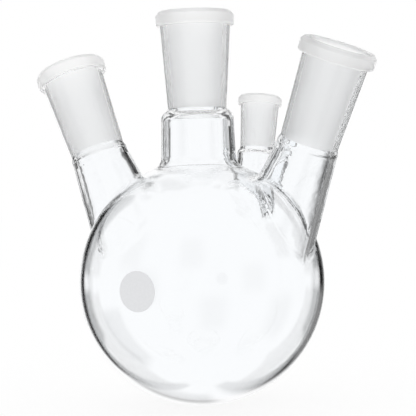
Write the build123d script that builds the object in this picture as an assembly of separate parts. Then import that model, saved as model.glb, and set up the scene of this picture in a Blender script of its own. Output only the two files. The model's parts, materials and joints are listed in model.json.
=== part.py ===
from build123d import *
import os
from math import cos, radians, sin

# Round-bottom flask with four taper-joint necks, blown as one piece of clear glass.
# Millimetres. The origin is the lowest point of the bulb, +Z runs up the centre neck
# and -Y is the front. Azimuths are counter-clockwise from +X.

# Bulb
bulb_od = 102.0
bulb_wall = 1.8
bulb_centre = Vector(0, 0, bulb_od / 2)

# Standard taper of a ground joint, on the diameter
taper = 1 / 10

# Each neck's tube ends inside the bulb on a base circle. Its centre is placed from the
# bulb's, up along the neck and out across it, in shares of the bulb's radius.

# Centre neck, a 24/40 socket
centre = dict(
    bore=24.0,
    ground=40.0,
    rim_od=29.2,
    ground_end_od=24.4,
    bead_od=32.5,
    bead_height=6.0,
    lip=1.3,
    shoulder=3.0,
    shoulder_round=2.6,
    tube_od=30.2,
    base_od=31.7,
    base_up=0.8,
    base_out=0.0,
    wall=2.4,
    base_wall=2.4,
    blend=5.0,
)

# Side necks, 24/40 sockets with thinner walls, their tubes widening into the bulb
side = dict(
    bore=24.0,
    ground=40.0,
    rim_od=26.7,
    ground_end_od=23.6,
    bead_od=31.0,
    bead_height=6.0,
    lip=1.3,
    shoulder=1.6,
    shoulder_round=2.0,
    tube_od=24.9,
    base_od=37.0,
    base_up=0.365,
    base_out=0.493,
    wall=2.2,
    base_wall=2.3,
    blend=6.5,
)

# Small neck for a thermometer, a 14/23 socket
small = dict(
    bore=14.5,
    ground=23.0,
    rim_od=16.8,
    ground_end_od=15.0,
    bead_od=19.4,
    bead_height=3.8,
    lip=0.8,
    shoulder=2.0,
    shoulder_round=1.5,
    tube_od=17.4,
    base_od=16.5,
    base_up=0.255,
    base_out=0.648,
    wall=1.8,
    base_wall=1.8,
    blend=6.0,
)

# Where each mouth is, from the bulb's centre: azimuth, distance out from the vertical
# axis, height up, and lean of the neck away from the vertical
centre_seat = dict(azimuth=0.0, out=0.0, up=112.2, lean=0.0)
side_seat = dict(azimuth=-35.0, out=68.5, up=93.3, lean=22.0)
opposite_seat = dict(side_seat, azimuth=side_seat["azimuth"] + 180)
small_seat = dict(azimuth=55.0, out=49.0, up=78.3, lean=9.0)
necks = [(centre, centre_seat), (side, side_seat), (side, opposite_seat), (small, small_seat)]

# Enamel marking spot fused to the bulb at its widest
spot_d = 16.0
spot_thickness = 0.15
spot_azimuth = -120.0


def mouth(seat):
    """The mouth's own frame: Z points out of the neck and X away from the flask's axis."""
    lean = radians(seat["lean"])
    up = Vector(0, 0, 1)
    away = Vector(cos(radians(seat["azimuth"])), sin(radians(seat["azimuth"])), 0)
    return Plane(
        origin=bulb_centre + away * seat["out"] + up * seat["up"],
        x_dir=away * cos(lean) - up * sin(lean),
        z_dir=away * sin(lean) + up * cos(lean),
    )


def turned(points, rounds):
    """A solid of revolution about Z, with chosen corners of its profile rounded."""
    profile = make_face(Polyline(*points, close=True))
    for corner, radius in rounds:
        profile = fillet(profile.vertices().sort_by_distance((*corner, 0))[0], radius)
    return revolve(Plane.XZ * profile, Axis.Z)


def tube(neck, seat, top_d, top, base_d):
    """The clear tube under the shoulder, down to its base circle inside the bulb."""
    centre_at = mouth(seat).to_local_coords(bulb_centre)
    base_at = centre_at + Vector(neck["base_out"], 0, neck["base_up"]) * bulb_od / 2
    head = Plane((0, 0, -top)) * Circle(top_d / 2)
    base = Plane(base_at) * Circle(base_d / 2)
    return loft([head, base], ruled=True)


def skin(neck, seat):
    """Outside of a neck: bead, taper socket, shoulder and tube, with the mouth at Z = 0."""
    ground = neck["ground"]
    bead_r = neck["bead_od"] / 2
    tube_r = neck["tube_od"] / 2
    under_bead = (bead_r, -neck["bead_height"])
    shoulder = (tube_r, -ground - neck["shoulder"])
    tube_top = ground + neck["shoulder"] + neck["shoulder_round"]
    socket = turned(
        [
            (0, 0),
            (bead_r - neck["lip"], 0),
            (bead_r, -1.2 * neck["lip"]),
            under_bead,
            (neck["rim_od"] / 2, -neck["bead_height"]),
            (neck["ground_end_od"] / 2, -ground),
            shoulder,
            (tube_r, -tube_top),
            (0, -tube_top),
        ],
        [(under_bead, 0.16 * neck["bead_height"]), (shoulder, neck["shoulder_round"])],
    )
    return socket + tube(neck, seat, neck["tube_od"], tube_top, neck["base_od"])


def bore(neck, seat):
    """Inside of a neck: ground taper, inner shoulder and tube, open above the mouth."""
    wall = neck["wall"]
    ground = neck["ground"]
    bore_r = neck["bore"] / 2
    end_r = bore_r - taper * ground / 2
    inner_r = neck["tube_od"] / 2 - wall
    shoulder = (inner_r, -ground - wall - 0.4 * neck["shoulder"])
    tube_top = ground + wall + neck["shoulder"] + neck["shoulder_round"]
    flare = 0.4
    socket = turned(
        [
            (0, flare),
            (bore_r + 2 * flare, flare),
            (bore_r, -flare),
            (end_r, -ground),
            (end_r, -ground - wall),
            shoulder,
            (inner_r, -tube_top),
            (0, -tube_top),
        ],
        [(shoulder, 0.8 * (inner_r - end_r))],
    )
    return socket + tube(neck, seat, 2 * inner_r, tube_top, neck["base_od"] - 2 * neck["base_wall"])


def blown(radius, shapes, blends):
    """A ball with a neck shape in every seat, each junction rounded to its own radius."""
    body = Pos(bulb_centre) * Sphere(radius)
    for shape, blend, (neck, seat) in zip(shapes, blends, necks):
        seated = mouth(seat) * shape
        joined = body + seated
        body = fillet(new_edges(body, seated, combined=joined), blend)
    return body


skins = [skin(neck, seat) for neck, seat in necks]
bores = [bore(neck, seat) for neck, seat in necks]
outside = blown(bulb_od / 2, skins, [neck["blend"] for neck, seat in necks])
inside = blown(
    bulb_od / 2 - bulb_wall, bores, [neck["blend"] + neck["base_wall"] for neck, seat in necks]
)
flask = outside - inside

# The spot is a thin cap lifted off the bulb's own surface
ball = Pos(bulb_centre) * Sphere(bulb_od / 2)
raised = Pos(bulb_centre) * Sphere(bulb_od / 2 + spot_thickness)
plug = Pos(bulb_centre) * Rot(0, 90, 0) * Cylinder(
    spot_d / 2, bulb_od, align=(Align.CENTER, Align.CENTER, Align.MIN)
)
plug = plug.rotate(Axis.Z, spot_azimuth)
spot = (raised & plug) - ball

os.makedirs("parts", exist_ok=True)
export_step(flask, "parts/flask.step")
export_step(spot, "parts/marking_spot.step")
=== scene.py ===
import json
import math
import bpy
from mathutils import Matrix, Vector

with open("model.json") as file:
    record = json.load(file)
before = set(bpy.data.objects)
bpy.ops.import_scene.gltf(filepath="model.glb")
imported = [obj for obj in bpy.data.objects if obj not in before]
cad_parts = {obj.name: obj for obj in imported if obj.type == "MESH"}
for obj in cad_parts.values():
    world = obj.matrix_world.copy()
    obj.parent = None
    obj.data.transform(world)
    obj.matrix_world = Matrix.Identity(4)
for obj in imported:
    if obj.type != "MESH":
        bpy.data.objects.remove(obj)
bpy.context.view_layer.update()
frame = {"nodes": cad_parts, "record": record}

print("frame: nodes", sorted(frame["nodes"]))


def linearColour(hexCode):
    channels = [int(hexCode[i:i + 2], 16) / 255 for i in (1, 3, 5)]
    return [c / 12.92 if c <= 0.04045 else ((c + 0.055) / 1.055) ** 2.4 for c in channels] + [1.0]


def addNode(tree, kind, inputs=None, **settings):
    # inputs: socket name or number -> a value, a node to link from, or one of its outputs
    node = tree.nodes.new(kind)
    for name, value in settings.items():
        setattr(node, name, value)
    for key, value in (inputs or {}).items():
        if isinstance(value, bpy.types.Node):
            value = value.outputs[0]
        if isinstance(value, bpy.types.NodeSocket):
            tree.links.new(value, node.inputs[key])
        else:
            node.inputs[key].default_value = value
    return node


def newMaterial(name):
    material = bpy.data.materials.new(name)
    material.use_nodes = True
    material.node_tree.nodes.clear()
    return material, material.node_tree


camera = {
    "place": (0.0, -0.600, 0.0949),   # metres, on the flask's front side
    "pitch": -1.27,                    # degrees, down
    "pan": -0.32,                      # degrees, to the right
    "roll": -1.6,                      # degrees, the flask's top leans left
    "lens": 124.7,                     # mm
    "sensor": 36.0,                    # mm across
    "clip": (0.01, 20.0),              # metres
}


def addCamera():
    data = bpy.data.cameras.new("studioCamera")
    data.lens = camera["lens"]
    data.sensor_width = camera["sensor"]
    data.clip_start, data.clip_end = camera["clip"]
    holder = bpy.data.objects.new("studioCamera", data)
    bpy.context.scene.collection.objects.link(holder)
    turn = (
        Matrix.Rotation(math.radians(camera["pan"]), 4, "Z")
        @ Matrix.Rotation(math.radians(90 + camera["pitch"]), 4, "X")
        @ Matrix.Rotation(math.radians(camera["roll"]), 4, "Z")
    )
    holder.matrix_world = Matrix.Translation(camera["place"]) @ turn
    bpy.context.scene.camera = holder


addCamera()
print("camera: placed")


# A white tent with dark gaps between its panels. Only light that glass has passed or mirrored
# sharply shows the gaps: they draw the dark strokes along the glass's edges, and the frost
# stays pale.
studio = {
    "white": 1.0,
    # azimuths from and to, counter-clockwise from +X, then the lowest and highest elevation,
    # then how far the clockwise edge, the other edge and the two ends fade, all in degrees,
    # and how bright the gap is
    "gaps": [
        # behind left, low and high: the left edges of the bulb and of the tubes
        (111.0, 126.0, -70.0, 2.0, (3.0, 3.0, 4.0), 0.01),
        (107.0, 140.0, 0.5, 40.0, (3.0, 3.0, 4.0), 0.01),
        (112.0, 142.0, -24.0, -5.0, (3.0, 3.0, 4.0), 0.03),
        # behind right, the same
        (54.0, 75.0, -70.0, 2.0, (3.0, 13.0, 4.0), 0.01),
        (40.0, 75.0, 0.5, 40.0, (3.0, 8.0, 4.0), 0.01),
        (36.0, 68.0, -24.0, -6.0, (3.0, 3.0, 4.0), 0.25),
        # low behind, and all round for the other sides
        (87.0, 112.0, -55.0, -26.0, (6.0, 6.0, 8.0), 0.60),
        (157.0, 183.0, -55.0, -16.0, (6.0, 6.0, 8.0), 0.05),
        (202.0, 228.0, -12.0, 12.0, (16.0, 16.0, 16.0), 0.40),
        (267.0, 293.0, -40.0, -10.0, (16.0, 16.0, 16.0), 0.40),
        (337.0, 363.0, -40.0, -10.0, (16.0, 16.0, 16.0), 0.40),
    ],
}


def addStudio():
    world = bpy.data.worlds.new("studio")
    bpy.context.scene.world = world
    world.use_nodes = True
    tree = world.node_tree
    tree.nodes.clear()
    coords = addNode(tree, "ShaderNodeTexCoord")
    direction = addNode(tree, "ShaderNodeSeparateXYZ", {0: coords.outputs["Generated"]})
    turned = addNode(
        tree, "ShaderNodeMath",
        {0: direction.outputs["Y"], 1: direction.outputs["X"]}, operation="ARCTAN2",
    )
    azimuth = addNode(tree, "ShaderNodeMath", {0: turned}, operation="DEGREES")
    risen = addNode(tree, "ShaderNodeMath", {0: direction.outputs["Z"]}, operation="ARCSINE")
    height = addNode(tree, "ShaderNodeMath", {0: risen}, operation="DEGREES")
    seen = studio["white"]
    for start, end, low, high, fades, shade in studio["gaps"]:
        half = (end - start) / 2
        clockwiseFade, otherFade, endFade = [width / 2 for width in fades]
        offMiddle = addNode(
            tree, "ShaderNodeMath", {0: azimuth, 1: (end + start) / 2}, operation="SUBTRACT",
        )
        across = addNode(
            tree, "ShaderNodeMath", {0: offMiddle, 1: 180.0, 2: -180.0}, operation="WRAP",
        )
        # each edge: what is measured, where it is white, where it is full gap
        edges = [
            (across, -half - clockwiseFade, -half + clockwiseFade),
            (across, half + otherFade, half - otherFade),
            (height, low - endFade, low + endFade),
            (height, high + endFade, high - endFade),
        ]
        inside = 1.0
        for measured, white, full in edges:
            edge = addNode(
                tree, "ShaderNodeMapRange",
                {"Value": measured, "From Min": white, "From Max": full},
                interpolation_type="SMOOTHSTEP",
            )
            inside = addNode(tree, "ShaderNodeMath", {0: edge, 1: inside}, operation="MULTIPLY")
        seen = addNode(
            tree, "ShaderNodeMix", {"Factor": inside, "A": seen, "B": shade}, data_type="FLOAT",
        )
    path = addNode(tree, "ShaderNodeLightPath")
    undiffused = addNode(
        tree, "ShaderNodeMath", {0: path.outputs["Diffuse Depth"], 1: 0.5}, operation="LESS_THAN",
    )
    byGlass = addNode(
        tree, "ShaderNodeMath",
        {0: path.outputs["Is Transmission Ray"], 1: path.outputs["Is Glossy Ray"]},
        operation="MAXIMUM",
    )
    onlyByGlass = addNode(
        tree, "ShaderNodeMath", {0: undiffused, 1: byGlass}, operation="MULTIPLY",
    )
    gapsShow = addNode(
        tree, "ShaderNodeMath",
        {0: onlyByGlass, 1: path.outputs["Is Singular Ray"]}, operation="MULTIPLY",
    )
    strength = addNode(
        tree, "ShaderNodeMix", {"Factor": gapsShow, "A": studio["white"], "B": seen},
        data_type="FLOAT",
    )
    background = addNode(
        tree, "ShaderNodeBackground", {"Color": (1, 1, 1, 1), "Strength": strength},
    )
    addNode(tree, "ShaderNodeOutputWorld", {"Surface": background})


floorPiece = {
    "size": 6.0,          # metres across
    "drop": 0.0002,       # a hair under the bulb
    "glow": 0.9,          # share of its white that needs no light, so the shadow stays faint
}


def addFloor():
    half = floorPiece["size"] / 2
    z = -floorPiece["drop"]
    mesh = bpy.data.meshes.new("floor")
    corners = [(-half, -half, z), (half, -half, z), (half, half, z), (-half, half, z)]
    mesh.from_pydata(corners, [], [(0, 1, 2, 3)])
    floor = bpy.data.objects.new("floor", mesh)
    bpy.context.scene.collection.objects.link(floor)
    material, tree = newMaterial("whitePaperSweep")
    lit = 1 - floorPiece["glow"]
    diffuse = addNode(tree, "ShaderNodeBsdfDiffuse", {"Color": (lit, lit, lit, 1)})
    glow = addNode(
        tree, "ShaderNodeEmission", {"Color": (1, 1, 1, 1), "Strength": floorPiece["glow"]},
    )
    both = addNode(tree, "ShaderNodeAddShader", {0: diffuse, 1: glow})
    addNode(tree, "ShaderNodeOutputMaterial", {"Surface": both})
    mesh.materials.append(material)
    # the glass looks past the paper to the panels, so its foot is drawn as its sides are
    floor.visible_transmission = False
    floor.visible_glossy = False


# light caught inside a glass wall turns many times before it leaves
bounces = {
    "max_bounces": 48,
    "glossy_bounces": 32,
    "transmission_bounces": 32,
    "diffuse_bounces": 16,
}

addStudio()
addFloor()
for name, count in bounces.items():
    setattr(bpy.context.scene.cycles, name, count)
print("studio: world and floor")


glassIor = 1.47   # borosilicate

# Borosilicate, blown and flame worked: colourless but for a barely cool cast, with slow waves
# left by the blowing that bend what is seen through it.
clearGlass = {
    "tint": "#FDFEFF",
    "castTint": "#FCFDFE",
    "waveLength": 0.022,     # metres, the slow waves of a blown wall
    "waveHeight": 0.00004,   # metres, drawn a little deeper than real ones
    "waveStrength": 0.25,
}


def makeClearGlass():
    material, tree = newMaterial("borosilicateBlown")
    coords = addNode(tree, "ShaderNodeTexCoord")
    waves = addNode(
        tree, "ShaderNodeTexNoise",
        {
            "Vector": coords.outputs["Object"],
            "Scale": 1 / clearGlass["waveLength"],
            "Detail": 1.0,
        },
    )
    bump = addNode(
        tree, "ShaderNodeBump",
        {
            "Height": waves,
            "Distance": clearGlass["waveHeight"],
            "Strength": clearGlass["waveStrength"],
        },
    )
    cast = addNode(
        tree, "ShaderNodeMix",
        {
            0: waves,
            6: linearColour(clearGlass["tint"]),
            7: linearColour(clearGlass["castTint"]),
        },
        data_type="RGBA",
    )
    glass = addNode(
        tree, "ShaderNodeBsdfPrincipled",
        {
            "Base Color": cast.outputs[2],
            "Roughness": 0.0,
            "IOR": glassIor,
            "Transmission Weight": 1.0,
            "Normal": bump,
        },
    )
    addNode(tree, "ShaderNodeOutputMaterial", {"Surface": glass})
    return material


# The same glass, its taper ground true with grit: a milky veil that blurs what is behind, with
# faint rings round the taper from the turning tool.
groundGlass = {
    "tints": ("#FCFDFD", "#FFFFFF"),
    "roughness": (0.42, 0.55),
    "powder": 0.05,          # share of the light the ground skin scatters as white powder does
    "powderTint": "#FFFFFF",
    "ringPitch": 0.0016,     # metres, real rings are finer than a pixel and are drawn coarser
    "ringLength": 0.05,      # metres round the taper before a ring fades
    "grit": 0.0007,          # metres, drawn coarser than the real 0.05 mm
    "gritDepth": 0.00002,    # metres
    "gritStrength": 0.5,
    "leastWear": 0.5,        # 0 to 1, how worn the skin is between the rings and grains
    "taper": 0.1,            # on the diameter
    "margin": 0.0004,        # metres, how far a face's middle may lie off the taper
    "aboveMouth": 0.002,     # metres past the mouth that still belong to the socket
    "reach": 2.0,            # mouth radii from the axis that still belong to it
    # mount -> mouth radius, ground length, bead height, metres
    "sockets": {
        "centre_socket": (0.012, 0.040, 0.0060),
        "right_socket": (0.012, 0.040, 0.0060),
        "left_socket": (0.012, 0.040, 0.0060),
        "small_socket": (0.00725, 0.023, 0.0038),
    },
}

# The rolled bead round each mouth, its skin left satin by the flame and the roller, so it
# gleams softly and blurs what is behind.
satinBead = {
    "roughness": (0.25, 0.38),
    "powder": 0.05,
    "tint": "#FFFFFF",
    "mottle": 0.004,         # metres
}


def makeGroundGlass(name, axis):
    material, tree = newMaterial("borosilicateGroundTaper_" + name)
    coords = addNode(tree, "ShaderNodeTexCoord")
    # the socket's own frame, with Z along its axis
    lean = axis.to_track_quat("Z", "Y").inverted().to_euler()
    along = addNode(
        tree, "ShaderNodeMapping", {"Vector": coords.outputs["Object"], "Rotation": lean},
        vector_type="POINT",
    )
    slow = 1 / groundGlass["ringLength"]
    ringFrame = addNode(
        tree, "ShaderNodeMapping",
        {"Vector": along, "Scale": (slow, slow, 1 / groundGlass["ringPitch"])},
    )
    rings = addNode(
        tree, "ShaderNodeTexNoise", {"Vector": ringFrame, "Scale": 1.0, "Detail": 2.0},
    )
    grit = addNode(
        tree, "ShaderNodeTexNoise",
        {"Vector": along, "Scale": 1 / groundGlass["grit"], "Detail": 2.0},
    )
    worn = addNode(
        tree, "ShaderNodeMath",
        {0: rings, 1: grit, 2: groundGlass["leastWear"]}, operation="MULTIPLY_ADD",
    )
    veil = addNode(
        tree, "ShaderNodeMix",
        {
            0: worn,
            6: linearColour(groundGlass["tints"][0]),
            7: linearColour(groundGlass["tints"][1]),
        },
        data_type="RGBA",
    )
    dullness = addNode(
        tree, "ShaderNodeMapRange",
        {
            "Value": worn,
            "To Min": groundGlass["roughness"][0],
            "To Max": groundGlass["roughness"][1],
        },
    )
    bump = addNode(
        tree, "ShaderNodeBump",
        {
            "Height": grit,
            "Distance": groundGlass["gritDepth"],
            "Strength": groundGlass["gritStrength"],
        },
    )
    glass = addNode(
        tree, "ShaderNodeBsdfPrincipled",
        {
            "Base Color": veil.outputs[2],
            "Roughness": dullness,
            "IOR": glassIor,
            "Transmission Weight": 1.0,
            "Normal": bump,
        },
    )
    powder = addNode(
        tree, "ShaderNodeBsdfTranslucent", {"Color": linearColour(groundGlass["powderTint"])},
    )
    both = addNode(
        tree, "ShaderNodeMixShader", {0: groundGlass["powder"], 1: glass, 2: powder},
    )
    addNode(tree, "ShaderNodeOutputMaterial", {"Surface": both})
    return material


def makeSatinBead():
    material, tree = newMaterial("borosilicateRolledBead")
    coords = addNode(tree, "ShaderNodeTexCoord")
    mottle = addNode(
        tree, "ShaderNodeTexNoise",
        {"Vector": coords.outputs["Object"], "Scale": 1 / satinBead["mottle"], "Detail": 2.0},
    )
    dullness = addNode(
        tree, "ShaderNodeMapRange",
        {
            "Value": mottle,
            "To Min": satinBead["roughness"][0],
            "To Max": satinBead["roughness"][1],
        },
    )
    glass = addNode(
        tree, "ShaderNodeBsdfPrincipled",
        {
            "Base Color": linearColour(satinBead["tint"]),
            "Roughness": dullness,
            "IOR": glassIor,
            "Transmission Weight": 1.0,
        },
    )
    powder = addNode(
        tree, "ShaderNodeBsdfTranslucent", {"Color": linearColour(satinBead["tint"])},
    )
    both = addNode(
        tree, "ShaderNodeMixShader", {0: satinBead["powder"], 1: glass, 2: powder},
    )
    addNode(tree, "ShaderNodeOutputMaterial", {"Surface": both})
    return material


def finishOf(point, mounts):
    # which socket's taper or bead a point lies on, or None for the clear glass
    for name, (mouthRadius, groundLength, beadHeight) in groundGlass["sockets"].items():
        fromMouth = point - Vector(mounts[name]["pos_m"])
        axis = Vector(mounts[name]["axis"]).normalized()
        depth = -fromMouth.dot(axis)
        acrossAxis = (fromMouth + axis * depth).length
        taperRadius = mouthRadius - groundGlass["taper"] * depth / 2
        if acrossAxis > groundGlass["reach"] * mouthRadius:
            continue
        if not -groundGlass["aboveMouth"] < depth < groundLength:
            continue
        if depth > 0 and abs(acrossAxis - taperRadius) < groundGlass["margin"]:
            return name
        if depth < beadHeight:
            return "bead"
    return None


def finishFlask():
    flask = frame["nodes"]["flask"]
    mounts = {mount["name"]: mount for mount in frame["record"]["mounts"]}
    slots = {None: 0, "bead": 1}
    flask.data.materials.clear()
    flask.data.materials.append(makeClearGlass())
    flask.data.materials.append(makeSatinBead())
    for name in groundGlass["sockets"]:
        slots[name] = len(flask.data.materials)
        flask.data.materials.append(makeGroundGlass(name, Vector(mounts[name]["axis"])))
    for polygon in flask.data.polygons:
        polygon.material_index = slots[finishOf(polygon.center, mounts)]
    print("flask:", len(flask.data.polygons), "faces in", len(slots), "finishes")


finishFlask()


# Fired enamel, screened on in grains and matt enough to take a pencil.
enamelSpot = {
    "colours": ("#DCDDDF", "#E5E6E8"),
    "roughness": (0.55, 0.7),
    "grain": 0.0009,         # metres, drawn coarser than the real powder
    "grainDepth": 0.00002,   # metres
    "grainStrength": 0.4,
}


def finishSpot():
    spot = frame["nodes"]["marking_spot"]
    material, tree = newMaterial("firedMattEnamel")
    coords = addNode(tree, "ShaderNodeTexCoord")
    grain = addNode(
        tree, "ShaderNodeTexNoise",
        {"Vector": coords.outputs["Object"], "Scale": 1 / enamelSpot["grain"], "Detail": 3.0},
    )
    speckle = addNode(
        tree, "ShaderNodeMix",
        {
            0: grain,
            6: linearColour(enamelSpot["colours"][0]),
            7: linearColour(enamelSpot["colours"][1]),
        },
        data_type="RGBA",
    )
    dullness = addNode(
        tree, "ShaderNodeMapRange",
        {
            "Value": grain,
            "To Min": enamelSpot["roughness"][0],
            "To Max": enamelSpot["roughness"][1],
        },
    )
    bump = addNode(
        tree, "ShaderNodeBump",
        {
            "Height": grain,
            "Distance": enamelSpot["grainDepth"],
            "Strength": enamelSpot["grainStrength"],
        },
    )
    enamel = addNode(
        tree, "ShaderNodeBsdfPrincipled",
        {"Base Color": speckle.outputs[2], "Roughness": dullness, "Normal": bump},
    )
    addNode(tree, "ShaderNodeOutputMaterial", {"Surface": enamel})
    spot.data.materials.clear()
    spot.data.materials.append(material)
    print("marking spot: finished")


finishSpot()

bpy.context.scene.view_settings.view_transform = "Standard"
